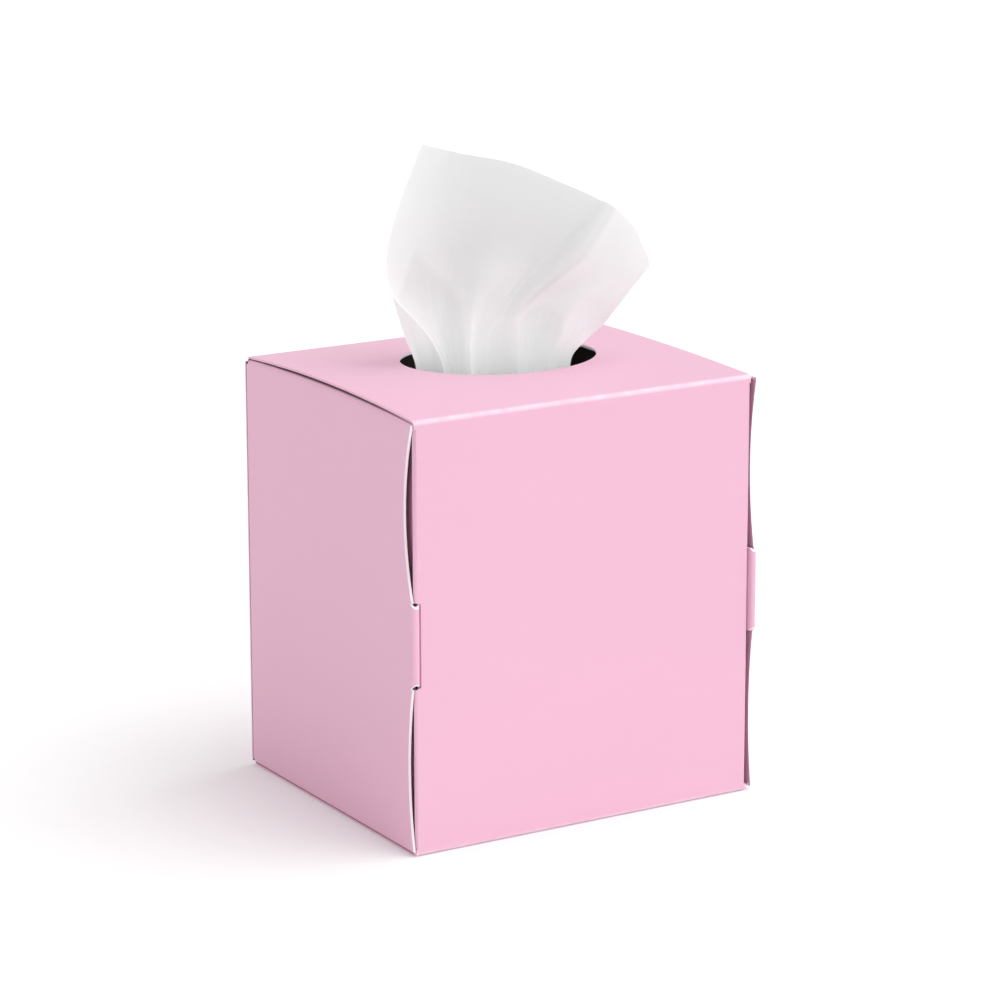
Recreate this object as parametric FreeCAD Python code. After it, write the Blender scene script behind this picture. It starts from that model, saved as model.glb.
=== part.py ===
"""Cube tissue box of folded pink card, with a tissue standing out of its oval hole.

The frame: +Z is up, the front panel faces -Y, and the origin is under the middle of the carton.
All lengths are in millimetres and all angles in degrees.
"""

import FreeCAD
import Part

import math
import os

from FreeCAD import Vector

# Card
CARD = 0.6
FOLD_RADIUS = 1.4
CORNER_RADIUS = 0.9
CLEARANCE = 0.25

# Carton
WIDTH = 112.0
DEPTH = 98.0
HEIGHT = 126.0
LEFT_BOW = 1.9
RIGHT_BOW = 0.9
SEAM_HEIGHT = 14.0
SEAM_INSET = 2.0
DUST_LENGTH = 42.0
DUST_INSET = 2.4
DUST_LEAN = 5.0
DUST_TAPER = 6.0

# Dispensing hole in the top panel
HOLE_LENGTH = 61.0
HOLE_DEPTH = 47.0
HOLE_X = 4.0
HOLE_Y = 5.5

# End flaps
TUCK_LENGTH = 18.0
TUCK_TAPER = 5.0
TUCK_SLOPE = 1.5
TUCK_RADIUS = 1.2
EDGE_INSET = 0.1
LEFT_SCOOPS = (4.0, 2.3)
RIGHT_SCOOPS = (2.4, 1.5)
RIGHT_AJAR = 0.95

# Lock tabs at the front edges of the end flaps
TAB_HEIGHT = 25.0
TAB_MIDDLE = 61.7
TAB_SLANT = 1.2
TAB_LEG = 5.0
LEFT_TAB_RADIUS = 1.4
LEFT_TAB_BEND = 135.0
LEFT_TAB_REACH = 0.15
RIGHT_TAB_RADIUS = 0.9
RIGHT_TAB_BEND = 165.0
RIGHT_TAB_REACH = 0.9
SLOT_ACROSS = 2.15
SLOT_DEPTH = 6.6
SLOT_MARGIN = 0.15

# Stack of folded tissues
STACK_SIDE_GAP = 6.0
STACK_END_GAP = 2.0
STACK_HEIGHT = 62.0
STACK_BUNDLES = 12
STACK_BULGE = 0.9

# Tissue that stands out of the hole
TISSUE_THICKNESS = 0.4
TISSUE_RISE = 64.0
TISSUE_TURN = 31.2
TISSUE_SIDE_INSET = 6.0
TISSUE_END_INSET = 9.5
LAYER_GAP = 1.4
TISSUE_ROWS = 27
TISSUE_COLUMNS = 47

FLAP_FACE = WIDTH / 2 + CARD + CLEARANCE
FRONT = -DEPTH / 2
BACK = DEPTH / 2
TAB_TOP = TAB_MIDDLE + TAB_HEIGHT / 2
TAB_FOOT = TAB_MIDDLE - TAB_HEIGHT / 2
STACK_FLOOR = 2 * (CARD + CLEARANCE)
STACK_TOP = STACK_FLOOR + STACK_HEIGHT
STACK_WIDTH = WIDTH - 2 * STACK_SIDE_GAP
STACK_DEPTH = DEPTH - 2 * (CARD + STACK_END_GAP + STACK_BULGE)
TISSUE_SPREAD = STACK_WIDTH - 2 * TISSUE_SIDE_INSET
TISSUE_REACH = STACK_DEPTH / 2 - TISSUE_END_INSET
PAST = 5.0

# Guide points of the risen tissue. One row is one fibre of the sheet: its place across the flat
# sheet in places of the front layer, then its points from the hole up to the top edge. A point is
# (across, towards the viewer, up), from the middle of the hole, for the guide hole depth and the
# guide rise.
GUIDE_HOLE = 47.0
GUIDE_RISE = 64.0
LAYER_PLACES = 100.0
ROW_PLACES = [0.0, 18.0, 36.0, 49.0, 70.0, 91.0, 106.0, 116.0, 126.0, 139.0, 154.0, 170.0]
FRONT_LAYER = [
    (0, [(-15.9, 12.8, -1), (-21, 16.3, 10.5), (-29, 18.3, 19.8), (-32.6, 15.8, 31), (-29.2, 11.3, 46),
         (-22.3, 6.8, 63.7)]),
    (10, [(-14.1, 4.8, -2), (-18.1, 9.8, 9), (-23.6, 10.8, 18), (-24.1, 9.8, 29.7), (-20.6, 5.8, 44.7),
          (-14.3, 1.8, 60.5)]),
    (20, [(-12.6, 1.4, -2.5), (-15.1, 2.8, 7), (-16.6, 4.4, 16.5), (-16.1, 3.8, 27), (-12.1, 1.8, 42.7),
          (-5.1, -0.2, 58)]),
    (30, [(-10.1, 8.3, -2), (-10.1, 9.8, 8), (-10.1, 9.8, 17), (-8.6, 6.8, 29), (-2.6, 2.3, 41.8),
          (4.6, 1.3, 56.1)]),
    (38, [(-7.9, 12.6, -1), (-7.8, 12.9, 9.2), (-6.1, 12.1, 17.6), (0.4, 9.8, 29.7), (7.4, 5.3, 41),
          (13.4, 4.8, 53.4)]),
    (46, [(-7.1, 7.4, -3), (-6.4, 8.3, 6.7), (-2.1, 9, 16.2), (6.4, 8.8, 29.5), (14.4, 7.8, 40.2),
          (19.4, 7.8, 51.4)]),
    (54, [(-2.6, 10.6, -1), (-1.6, 10.4, 8.3), (2.4, 10.3, 17.4), (10.9, 10.8, 29), (19.9, 11.3, 39.1),
          (25.4, 11.3, 49.6)]),
    (60, [(1.4, 8.6, -3), (1.6, 9.6, 7), (3.8, 11.2, 16.9), (13.4, 12.3, 28.9), (22.4, 13.3, 39.2),
          (29, 13.3, 48.3)]),
    (66, [(5.4, 11.6, -1), (5.7, 12.4, 9.5), (7.4, 14.2, 18.8), (18.4, 16.3, 29.4), (26.2, 16.8, 39.8),
          (32, 15.8, 47.5)]),
    (75, [(9.2, 3.4, -3), (9.9, 4.2, 5.6), (12.4, 7.2, 16), (22.8, 12.3, 25.9), (30.7, 13.3, 35.7),
          (36.7, 12.3, 42.7)]),
    (84, [(13.4, 8, -2.5), (15.9, 8, 5.5), (20.4, 9.8, 15.1), (27.4, 9.3, 22.6), (35, 9.8, 31.2),
          (40.4, 8.8, 36.9)]),
    (92, [(17.4, 4.4, -2), (20.2, 5.6, 4.4), (24.7, 6, 11.7), (31.7, 5.8, 19.2), (38.5, 5.3, 26.6),
          (42.9, 4.8, 31.4)]),
    (99, [(21.2, 2.8, -1), (24.2, 3.3, 3.9), (28.3, 2.3, 7.6), (33.4, 1.3, 13), (38.9, 0.8, 20.2),
          (43.8, 0.8, 26.8)]),
]
BACK_LAYER = [
    (98, [(20.4, 0.3, -1.5), (23.4, 0.8, 3.7), (27.5, 0.3, 7.6), (32.7, -0.8, 13), (38.3, -1.2, 20.4),
          (43.2, -1.2, 27)]),
    (84, [(15.9, -3.2, -2), (18.4, -0.7, 4.5), (22.4, 3.3, 13.5), (28.4, 4.8, 22), (35.6, 6, 30.5),
          (40.6, 6, 36.3)]),
    (66, [(7.4, -4.2, -2), (7.9, -1.2, 6.5), (11.4, 4.3, 16.5), (19.4, 11.6, 28.5), (26.4, 13.2, 38.7),
          (31.8, 12.8, 47)]),
    (50, [(-1.6, -3.2, -2), (-1.6, -0.7, 7), (1.4, 3.8, 17), (8.4, 5.6, 29), (16.9, 6.3, 39.4),
          (22.4, 7, 49.9)]),
    (35, [(-9.6, -5.2, -2), (-10.1, -2.7, 7), (-8.1, 0.3, 16.5), (-4.4, 1.3, 28.3), (1.8, 0, 40.6),
          (8.9, 0.3, 54.3)]),
    (18, [(-17.1, -1.7, -2), (-18.1, -1.7, 7), (-18.1, 0.3, 16.5), (-17.6, 0.8, 28.3), (-13.6, -0.9, 42.8),
          (-6.1, -2.7, 57.6)]),
    (1, [(-24.2, 7.8, -1.5), (-27.1, 9.8, 7.2), (-29.7, 11.8, 16.5), (-31.5, 12.6, 29.8), (-28.2, 8.3, 45.2),
         (-21.8, 4.6, 62.9)]),
]


def box(x_range, y_range, z_range):
    """A box between the given limits."""
    size = [high - low for low, high in (x_range, y_range, z_range)]
    return Part.makeBox(*size, Vector(x_range[0], y_range[0], z_range[0]))


def prism(points, direction):
    """A straight-sided solid on the polygon of points."""
    ring = Part.makePolygon(points + points[:1])
    return Part.Face(ring).extrude(direction)


def bent_card(start, heading, moves):
    """The section of a bent card in the XY plane, walked along one of its faces.

    The card lies to the left of the heading. A move is ("straight", length) or
    ("bend", radius of the walked face, angle), and a bend to the left has a positive angle.
    """
    outer, inner = [], []
    place, angle = Vector(*start, 0), heading
    for kind, size, *turn in moves:
        ahead = Vector(math.cos(math.radians(angle)), math.sin(math.radians(angle)), 0)
        left = Vector(-ahead.y, ahead.x, 0)
        if kind == "straight":
            end = place + ahead * size
            outer.append(Part.LineSegment(place, end))
            inner.append(Part.LineSegment(place + left * CARD, end + left * CARD))
        else:
            side = math.copysign(1, turn[0])
            centre = place + left * size * side
            spots = []
            for radius in (size, size - CARD * side):
                for share in (0.0, 0.5, 1.0):
                    spoke = math.radians(angle - 90 * side + turn[0] * share)
                    spots.append(centre + Vector(math.cos(spoke), math.sin(spoke), 0) * radius)
            outer.append(Part.Arc(*spots[:3]))
            inner.append(Part.Arc(*spots[3:]))
            end = spots[2]
            angle += turn[0]
        place = end
    caps = [
        Part.LineSegment(outer[0].StartPoint, inner[0].StartPoint),
        Part.LineSegment(outer[-1].EndPoint, inner[-1].EndPoint),
    ]
    edges = [curve.toShape() for curve in outer + inner + caps]
    return Part.Face(Part.Wire(Part.__sortEdges__(edges)))


def upright(face, foot, top):
    """The section stood up between two heights."""
    solid = face.extrude(Vector(0, 0, top - foot))
    solid.translate(Vector(0, 0, foot))
    return solid


def mirrored(shape):
    """The shape on the other side of the carton."""
    return shape.mirror(Vector(0, 0, 0), Vector(1, 0, 0))


def bow(x):
    """How far the top panel springs up at x."""
    return LEFT_BOW + (RIGHT_BOW - LEFT_BOW) * (x / WIDTH + 0.5)


def tube_section(x, inset):
    """The carton's profile at x, the inset inside its outer faces."""
    low, high = FRONT + inset, BACK - inset
    foot, top = inset, HEIGHT - inset
    sides = [
        Part.LineSegment(Vector(x, low, top), Vector(x, low, foot)),
        Part.LineSegment(Vector(x, low, foot), Vector(x, high, foot)),
        Part.LineSegment(Vector(x, high, foot), Vector(x, high, top)),
        Part.Arc(Vector(x, high, top), Vector(x, 0, top + bow(x)), Vector(x, low, top)),
    ]
    return Part.Wire([side.toShape() for side in sides])


def tube_block(inset, radius, past):
    """The solid inside the carton's faces, with rounded long edges."""
    reach = WIDTH / 2 + past
    block = Part.makeLoft([tube_section(-reach, inset), tube_section(reach, inset)], True, True)
    long_edges = [edge for edge in block.Edges if abs(edge.BoundBox.XLength - 2 * reach) < 0.01]
    return block.makeFillet(radius, long_edges)


def hole_cutter():
    """The upright oval that the dispensing hole is cut with."""
    oval = Part.Ellipse(Vector(0, 0, 0), HOLE_LENGTH / 2, HOLE_DEPTH / 2)
    cutter = Part.Face(Part.Wire([oval.toShape()])).extrude(Vector(0, 0, 6 * PAST))
    cutter.translate(Vector(HOLE_X, HOLE_Y, HEIGHT - 3 * PAST))
    return cutter


def left_dust_flap():
    """The dust flap on the left of the front panel, which leans in from its rounded fold."""
    section = bent_card(
        (-WIDTH / 2 + 2 * CORNER_RADIUS, FRONT + CARD),
        180,
        [
            ("straight", CORNER_RADIUS),
            ("bend", CORNER_RADIUS - CARD, -90 - DUST_LEAN),
            ("straight", DUST_LENGTH - CORNER_RADIUS),
        ],
    )
    foot, top = DUST_INSET, HEIGHT - DUST_INSET
    flap = upright(section, foot, top)
    side = -WIDTH / 2 - PAST
    shoulder, free = FRONT + DUST_LENGTH / 2, FRONT + DUST_LENGTH + PAST
    run = DUST_TAPER * (free - shoulder) / (DUST_LENGTH / 2)
    for edge, inwards in ((foot, 1), (top, -1)):
        corner = [
            Vector(side, shoulder, edge),
            Vector(side, free, edge),
            Vector(side, free, edge + inwards * run),
        ]
        flap = flap.cut(prism(corner, Vector(3 * PAST, 0, 0)))
    return flap


def left_tab_slot():
    """The notch in the front left corner fold, which the left lock tab wraps into."""
    return box(
        (-WIDTH / 2 - PAST, -WIDTH / 2 + SLOT_ACROSS),
        (FRONT - PAST, FRONT + SLOT_DEPTH),
        (TAB_FOOT - SLOT_MARGIN, TAB_TOP + SLOT_MARGIN),
    )


def right_tab_slot():
    """The slot behind the front right corner fold, which the right lock tab goes into."""
    return box(
        (WIDTH / 2 - FOLD_RADIUS, WIDTH / 2 + PAST),
        (FRONT + CORNER_RADIUS, FRONT + SLOT_DEPTH),
        (TAB_FOOT - SLOT_MARGIN, TAB_TOP + SLOT_MARGIN),
    )


def make_carton():
    """The tube of four panels, with its hole, dust flaps, tab slots and glued seam."""
    tube = tube_block(0, FOLD_RADIUS, 0).cut(tube_block(CARD, FOLD_RADIUS - CARD, 1))
    tube = tube.cut(hole_cutter())
    for side in (-1, 1):
        ends = sorted((side * (WIDTH / 2 - CORNER_RADIUS), side * (WIDTH / 2 + 1)))
        corner = box(ends, (FRONT - 1, FRONT + 2 * CARD), (DUST_INSET, HEIGHT - DUST_INSET))
        tube = tube.cut(corner)
        hem = sorted((side * (WIDTH / 2 - CARD), side * FLAP_FACE))
        tube = tube.fuse(box(hem, (BACK - CARD, BACK), (FOLD_RADIUS, HEIGHT - FOLD_RADIUS)))
    flap = left_dust_flap()
    seam_side = WIDTH / 2 - SEAM_INSET
    seam = box((-seam_side, seam_side), (BACK - 2 * CARD, BACK - CARD), (CARD / 2, SEAM_HEIGHT))
    tube = tube.fuse([flap, mirrored(flap), seam]).removeSplitter()
    return tube.cut(left_tab_slot()).cut(right_tab_slot())


def flap_edge(start, middle, end):
    """A curved front edge of an end flap, through three (y, z) points."""
    return Part.Arc(*[Vector(-FLAP_FACE, y, z) for y, z in (start, middle, end)])


def flap_panel(tab_start, scoops):
    """The flat of the left end flap between its two tuck folds, with its hollowed front edge."""
    root = BACK - CARD - CLEARANCE
    edge = FRONT + EDGE_INSET
    foot = CARD + CLEARANCE + TUCK_RADIUS
    top = HEIGHT - foot
    upper = (edge + scoops[0], (top + TAB_TOP) / 2)
    lower = (edge + scoops[1], (foot + TAB_FOOT) / 2)
    corners = [(root, foot), (edge, foot), (edge, TAB_FOOT), (tab_start, TAB_FOOT)]
    corners += [(tab_start, TAB_TOP), (edge, TAB_TOP), (edge, top), (root, top)]
    spots = [Vector(-FLAP_FACE, y, z) for y, z in corners]
    lines = [(0, 1), (2, 3), (3, 4), (4, 5), (6, 7), (7, 0)]
    edges = [Part.LineSegment(spots[a], spots[b]).toShape() for a, b in lines]
    edges.append(flap_edge(corners[1], lower, corners[2]).toShape())
    edges.append(flap_edge(corners[5], upper, corners[6]).toShape())
    outline = Part.Wire(Part.__sortEdges__(edges))
    return Part.Face(outline).extrude(Vector(CARD, 0, 0))


def lying_tuck(slope):
    """The strip folded in at the top of the left end flap, with slanted ends."""
    level = HEIGHT - CARD - CLEARANCE
    section = bent_card(
        (FLAP_FACE, level - TUCK_RADIUS),
        90,
        [("bend", TUCK_RADIUS, 90 + slope), ("straight", TUCK_LENGTH)],
    )
    section.rotate(Vector(0, 0, 0), Vector(1, 0, 0), 90)
    strip = section.extrude(Vector(0, 2 * DEPTH, 0))
    strip.translate(Vector(0, -DEPTH, 0))
    strip = mirrored(strip)
    side = -WIDTH / 2
    near, far = FRONT + FOLD_RADIUS, BACK - FOLD_RADIUS - CLEARANCE
    depth = side + TUCK_LENGTH + TUCK_RADIUS
    outline = [
        (-FLAP_FACE - 1, FRONT + EDGE_INSET),
        (side - CLEARANCE, FRONT + EDGE_INSET),
        (side - CLEARANCE, FRONT + CARD + CLEARANCE),
        (side + CLEARANCE, near),
        (depth, near + TUCK_TAPER),
        (depth, far - TUCK_TAPER),
        (side, far),
        (-FLAP_FACE - 1, far),
    ]
    low = level - TUCK_LENGTH
    keep = prism([Vector(x, y, low) for x, y in outline], Vector(0, 0, 2 * TUCK_LENGTH))
    return strip.common(keep)


def lock_tab(radius, bend, reach):
    """The lock tab of the left end flap: its fold round the corner and its tapered leg."""
    start = FRONT - reach + radius
    root = start + 2 * CARD
    section = bent_card(
        (-FLAP_FACE, root),
        -90,
        [("straight", root - start), ("bend", radius, bend), ("straight", TAB_LEG)],
    )
    tab = upright(section, TAB_FOOT, TAB_TOP)
    ahead = start - PAST
    for edge, inwards in ((TAB_FOOT, 1), (TAB_TOP, -1)):
        wedge = [
            Vector(-FLAP_FACE - PAST, ahead, edge + inwards * TAB_SLANT * PAST),
            Vector(-FLAP_FACE - PAST, ahead, edge - inwards),
            Vector(-FLAP_FACE - PAST, start, edge - inwards),
            Vector(-FLAP_FACE - PAST, start, edge),
        ]
        tab = tab.cut(prism(wedge, Vector(4 * PAST, 0, 0)))
    return tab


def left_flap(radius, bend, reach, scoops):
    """A closed end flap on the left side of the carton."""
    start = FRONT - reach + radius
    top_strip = lying_tuck(TUCK_SLOPE)
    foot_strip = lying_tuck(0).mirror(Vector(0, 0, HEIGHT / 2), Vector(0, 0, 1))
    parts = [top_strip, foot_strip, lock_tab(radius, bend, reach)]
    return flap_panel(start + CARD, scoops).fuse(parts).removeSplitter()


def make_left_end_flap():
    """The left end flap, locked round the corner."""
    return left_flap(LEFT_TAB_RADIUS, LEFT_TAB_BEND, LEFT_TAB_REACH, LEFT_SCOOPS)


def make_right_end_flap():
    """The right end flap, a little ajar, with its lock tab folded back into its slot."""
    flap = mirrored(left_flap(RIGHT_TAB_RADIUS, RIGHT_TAB_BEND, RIGHT_TAB_REACH, RIGHT_SCOOPS))
    flap.rotate(Vector(FLAP_FACE, BACK, 0), Vector(0, 0, 1), RIGHT_AJAR)
    return flap


def make_tissue_stack():
    """The folded tissues left in the carton, with rounded folds at the front and back."""
    step = STACK_HEIGHT / STACK_BUNDLES
    near, far = -STACK_DEPTH / 2, STACK_DEPTH / 2
    side = -STACK_WIDTH / 2
    edges = []
    for count in range(STACK_BUNDLES):
        low = STACK_FLOOR + count * step
        for y, bulge in ((near, -STACK_BULGE), (far, STACK_BULGE)):
            spots = [(y, low), (y + bulge, low + step / 2), (y, low + step)]
            edges.append(Part.Arc(*[Vector(side, y, z) for y, z in spots]).toShape())
    for z in (STACK_FLOOR, STACK_TOP):
        edges.append(Part.LineSegment(Vector(side, near, z), Vector(side, far, z)).toShape())
    outline = Part.Wire(Part.__sortEdges__(edges))
    return Part.Face(outline).extrude(Vector(STACK_WIDTH, 0, 0))


def tissue_point(across, ahead, up, turn, centre):
    """A point of the tissue, from its place across, towards the viewer and up."""
    angle = math.radians(turn)
    x = centre[0] + across * math.cos(angle) - ahead * math.sin(angle)
    y = centre[1] - across * math.sin(angle) - ahead * math.cos(angle)
    return Vector(x, y, up)


def fibre(place, points, layer):
    """One fibre of the tissue, from its end on the stack to its top edge. layer is 1 or -1."""
    hole, top = (HOLE_X, HOLE_Y), HEIGHT + (LEFT_BOW + RIGHT_BOW) / 2
    wide, tall = HOLE_DEPTH / GUIDE_HOLE, TISSUE_RISE / GUIDE_RISE
    risen = [
        tissue_point(a * wide, b * wide, top + c * tall, TISSUE_TURN, hole) for a, b, c in points
    ]
    gather = points[0]
    spread = (place / LAYER_PLACES - 0.5) * TISSUE_SPREAD
    rest = STACK_TOP + CLEARANCE + TISSUE_THICKNESS + LAYER_GAP * (1 - layer) / 2
    drop = top - rest
    lying = [
        (1.0, -TISSUE_REACH, 0.0, 0.0),
        (1.0, -TISSUE_REACH / 2, 0.0, 0.0),
        (1.0, 0.0, 0.01, 0.0),
        (0.85, 9.0 + layer * LAYER_GAP / 2, 0.16, 0.25),
        (0.4, 4.0 + layer * LAYER_GAP, 0.45, 0.6),
        (0.08, 1.0, 0.77, 0.95),
    ]
    fallen = []
    for share, ahead, height, turn in lying:
        across = gather[0] * wide * (1 - share) + spread * share
        forward = gather[1] * wide * (1 - share) + ahead
        middle = (HOLE_X * turn, HOLE_Y * turn)
        fallen.append(
            tissue_point(across, forward, rest + drop * height, TISSUE_TURN * turn, middle)
        )
    return fallen + risen


def smooth_line(points, places, count):
    """Evenly placed points of the smooth curve that passes each point at its place."""
    curve = Part.BSplineCurve()
    curve.interpolate(Points=points, Parameters=places)
    step = (places[-1] - places[0]) / (count - 1)
    return [curve.value(places[0] + step * number) for number in range(count)]


def tissue_grid():
    """Points of the tissue's middle surface, as rows that run across the sheet."""
    fibres = [fibre(place, points, 1) for place, points in FRONT_LAYER]
    fibres += [fibre(place, points, -1) for place, points in BACK_LAYER]
    across = [float(place) for place, points in FRONT_LAYER]
    across += [2 * LAYER_PLACES - place for place, points in BACK_LAYER]
    lengths = [smooth_line(points, ROW_PLACES, TISSUE_ROWS) for points in fibres]
    rows = [smooth_line(list(points), across, TISSUE_COLUMNS) for points in zip(*lengths)]
    rest = STACK_TOP + CLEARANCE + TISSUE_THICKNESS / 2
    return [[Vector(point.x, point.y, max(point.z, rest)) for point in row] for row in rows]


def offset_grid(grid, offset):
    """The grid moved along its own normals."""
    last_row, last_column = len(grid) - 1, len(grid[0]) - 1
    moved = []
    for i, row in enumerate(grid):
        line = []
        for j, point in enumerate(row):
            across = row[min(j + 1, last_column)] - row[max(j - 1, 0)]
            along = grid[min(i + 1, last_row)][j] - grid[max(i - 1, 0)][j]
            line.append(point + across.cross(along).normalize() * offset)
        moved.append(line)
    return moved


def facets(loop):
    """The two triangles of a four-cornered patch."""
    first, second, third, fourth = loop
    corners = [(first, second, third), (first, third, fourth)]
    return [Part.Face(Part.makePolygon([*three, three[0]])) for three in corners]


def make_pop_up_tissue():
    """The tissue folded once lengthwise, gathered in the hole and standing out of it."""
    grid = tissue_grid()
    near, far = [offset_grid(grid, side * TISSUE_THICKNESS / 2) for side in (-1, 1)]
    last_row, last_column = TISSUE_ROWS - 1, TISSUE_COLUMNS - 1
    faces = []
    for i in range(last_row):
        for j in range(last_column):
            patch = [(i, j), (i + 1, j), (i + 1, j + 1), (i, j + 1)]
            faces += facets([near[a][b] for a, b in patch])
            faces += facets([far[a][b] for a, b in patch])
        for j in (0, last_column):
            faces += facets([near[i][j], near[i + 1][j], far[i + 1][j], far[i][j]])
    for j in range(last_column):
        for i in (0, last_row):
            faces += facets([near[i][j], near[i][j + 1], far[i][j + 1], far[i][j]])
    shell = Part.Shell(faces)
    shell.sewShape()
    return Part.Solid(shell)


def main():
    """Builds every piece and writes its STEP file."""
    pieces = {
        "carton": make_carton(),
        "left_end_flap": make_left_end_flap(),
        "right_end_flap": make_right_end_flap(),
        "tissue_stack": make_tissue_stack(),
        "pop_up_tissue": make_pop_up_tissue(),
    }
    os.makedirs("parts", exist_ok=True)
    for name, shape in pieces.items():
        if shape.Volume < 0:
            shape.reverse()
        bounds = shape.BoundBox
        print(
            f"{name}: valid {shape.isValid()}, solids {len(shape.Solids)}, faces {len(shape.Faces)},"
            f" volume {shape.Volume:.0f}, x {bounds.XMin:.2f} to {bounds.XMax:.2f},"
            f" y {bounds.YMin:.2f} to {bounds.YMax:.2f}, z {bounds.ZMin:.2f} to {bounds.ZMax:.2f}"
        )
        shape.exportStep(f"parts/{name}.step")


main()
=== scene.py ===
# %% [markdown]
# # A cube tissue box of folded pink card
#
# The carton, its two end flaps, the tissues inside and the one that stands out of the hole were
# modelled in CAD. This lesson loads that model, reshapes its card a little, and models the
# standing tissue again as a softly folded sheet. It gives each piece the surface of the real
# thing: satin printed card with white cut edges, and crinkled white tissue. Everything is in
# metres, in the frame of the CAD model: the front looks to -Y and up is +Z.

# %% Load the frame
import math

import bmesh
import bpy
import numpy as np
from mathutils import Matrix, Vector


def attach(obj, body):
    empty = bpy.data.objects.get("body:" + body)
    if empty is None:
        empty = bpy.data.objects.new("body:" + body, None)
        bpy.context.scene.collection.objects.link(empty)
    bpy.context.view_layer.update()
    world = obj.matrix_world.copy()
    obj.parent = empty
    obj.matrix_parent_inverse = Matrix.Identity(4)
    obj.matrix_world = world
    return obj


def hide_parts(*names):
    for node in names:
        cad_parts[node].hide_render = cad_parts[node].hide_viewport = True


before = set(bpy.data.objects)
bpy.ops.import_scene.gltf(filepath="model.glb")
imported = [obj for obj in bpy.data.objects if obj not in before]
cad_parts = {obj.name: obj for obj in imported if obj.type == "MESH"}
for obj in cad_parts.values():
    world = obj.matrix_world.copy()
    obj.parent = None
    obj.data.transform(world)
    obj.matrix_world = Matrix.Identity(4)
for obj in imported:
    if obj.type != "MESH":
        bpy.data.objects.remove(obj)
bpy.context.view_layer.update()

# %% [markdown]
# The box stands a little over a metre from a long lens, seen from the left and from above the
# level of its lid. The camera's own axes are worked out from its heading, its rise and its small
# roll. That way each of them can be changed alone.

# %% Camera
HEADING = math.radians(-31.09)
RISE = math.radians(14.53)
ROLL = math.radians(-0.10)
AIM = Vector((0.00113, 0.0, 0.0854))
DISTANCE = 1.1456
LENS = 140.4
SENSOR = 36.0
FAR_CLIP = 20.0


def add_object(name, data):
    """A new object in the scene, at the origin."""
    item = bpy.data.objects.new(name, data)
    bpy.context.scene.collection.objects.link(item)
    return item


behind = Vector(
    (
        math.sin(HEADING) * math.cos(RISE),
        -math.cos(HEADING) * math.cos(RISE),
        math.sin(RISE),
    )
)
right = Vector((math.cos(HEADING), math.sin(HEADING), 0.0))
upward = behind.cross(right)
facing = Matrix((right, upward, behind)).transposed() @ Matrix.Rotation(ROLL, 3, "Z")
camera_data = bpy.data.cameras.new("camera")
camera_data.lens = LENS
camera_data.sensor_width = SENSOR
camera_data.clip_end = FAR_CLIP
camera = add_object("camera", camera_data)
camera.matrix_world = Matrix.Translation(AIM + behind * DISTANCE) @ facing.to_4x4()
bpy.context.scene.camera = camera
print("camera at", [round(v, 4) for v in camera.location])

# %% [markdown]
# Each look below is a small tree of shader nodes. These helpers keep the trees short: they start a
# material, add a node with its settings, link two sockets, mix two colours, and do one step of
# arithmetic. A value that is the same all over goes straight onto the shader.

# %% Material helpers
def new_material(name, roughness, specular=0.5):
    """A material and its shader, with a roughness and a gloss that are the same all over."""
    material = bpy.data.materials.new(name)
    material.use_nodes = True
    shader = material.node_tree.nodes["Principled BSDF"]
    shader.inputs["Roughness"].default_value = roughness
    shader.inputs["Specular IOR Level"].default_value = specular
    return material, shader


def add_node(material, kind, settings=None, **values):
    """A shader node with its settings and the values of its sockets."""
    node = material.node_tree.nodes.new(kind)
    for key, value in (settings or {}).items():
        setattr(node, key, value)
    for key, value in values.items():
        node.inputs[key.replace("_", " ")].default_value = value
    return node


def join(material, source, target):
    """Links one socket to another."""
    material.node_tree.links.new(source, target)


def colour_mix(material, factor, first, second):
    """Mixes two colours by a factor socket and returns the mixed colour's socket."""
    mix = add_node(material, "ShaderNodeMix", {"data_type": "RGBA"})
    join(material, factor, mix.inputs[0])
    for socket, colour in ((mix.inputs[6], first), (mix.inputs[7], second)):
        if isinstance(colour, tuple):
            socket.default_value = (*colour, 1.0)
        else:
            join(material, colour, socket)
    return mix.outputs[2]


def calculate(material, operation, *values):
    """One step of arithmetic on sockets and plain numbers."""
    node = add_node(material, "ShaderNodeMath", {"operation": operation})
    for socket, value in zip(node.inputs, values):
        if isinstance(value, (int, float)):
            socket.default_value = value
        else:
            join(material, value, socket)
    return node.outputs[0]


print("five helpers for node trees")

# %% [markdown]
# Nearly every surface of the box needs the same three things: a pattern on the piece's own
# coordinates, which stays in place when a flap turns; a fine relief; and a value that runs from
# one number to another. They get helpers too.

# %% Pattern helpers
def own_place(material):
    """The socket with a point's place in the piece's own coordinates."""
    return add_node(material, "ShaderNodeTexCoord").outputs["Object"]


def noise_on(material, place, scale, detail):
    """A cloudy pattern, as the socket of its factor."""
    noise = add_node(material, "ShaderNodeTexNoise", Scale=scale, Detail=detail)
    join(material, place, noise.inputs["Vector"])
    return noise.outputs["Fac"]


def add_relief(material, height, strength, distance, *shaders):
    """Lets a height socket roughen the shaders' surface."""
    bump = add_node(material, "ShaderNodeBump", Strength=strength, Distance=distance)
    join(material, height, bump.inputs["Height"])
    for shader in shaders:
        join(material, bump.outputs["Normal"], shader.inputs["Normal"])


def ramp(material, value, limits, results, kind="SMOOTHSTEP"):
    """Turns a value between two limits into one between two results."""
    node = add_node(material, "ShaderNodeMapRange", {"interpolation_type": kind})
    names = ("From Min", "From Max", "To Min", "To Max")
    for name, number in zip(names, (*limits, *results)):
        node.inputs[name].default_value = number
    join(material, value, node.inputs["Value"])
    return node.outputs["Result"]


def parts_of(material, place):
    """The X, Y and Z sockets of a place."""
    parts = add_node(material, "ShaderNodeSeparateXYZ")
    join(material, place, parts.inputs[0])
    return parts.outputs


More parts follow.
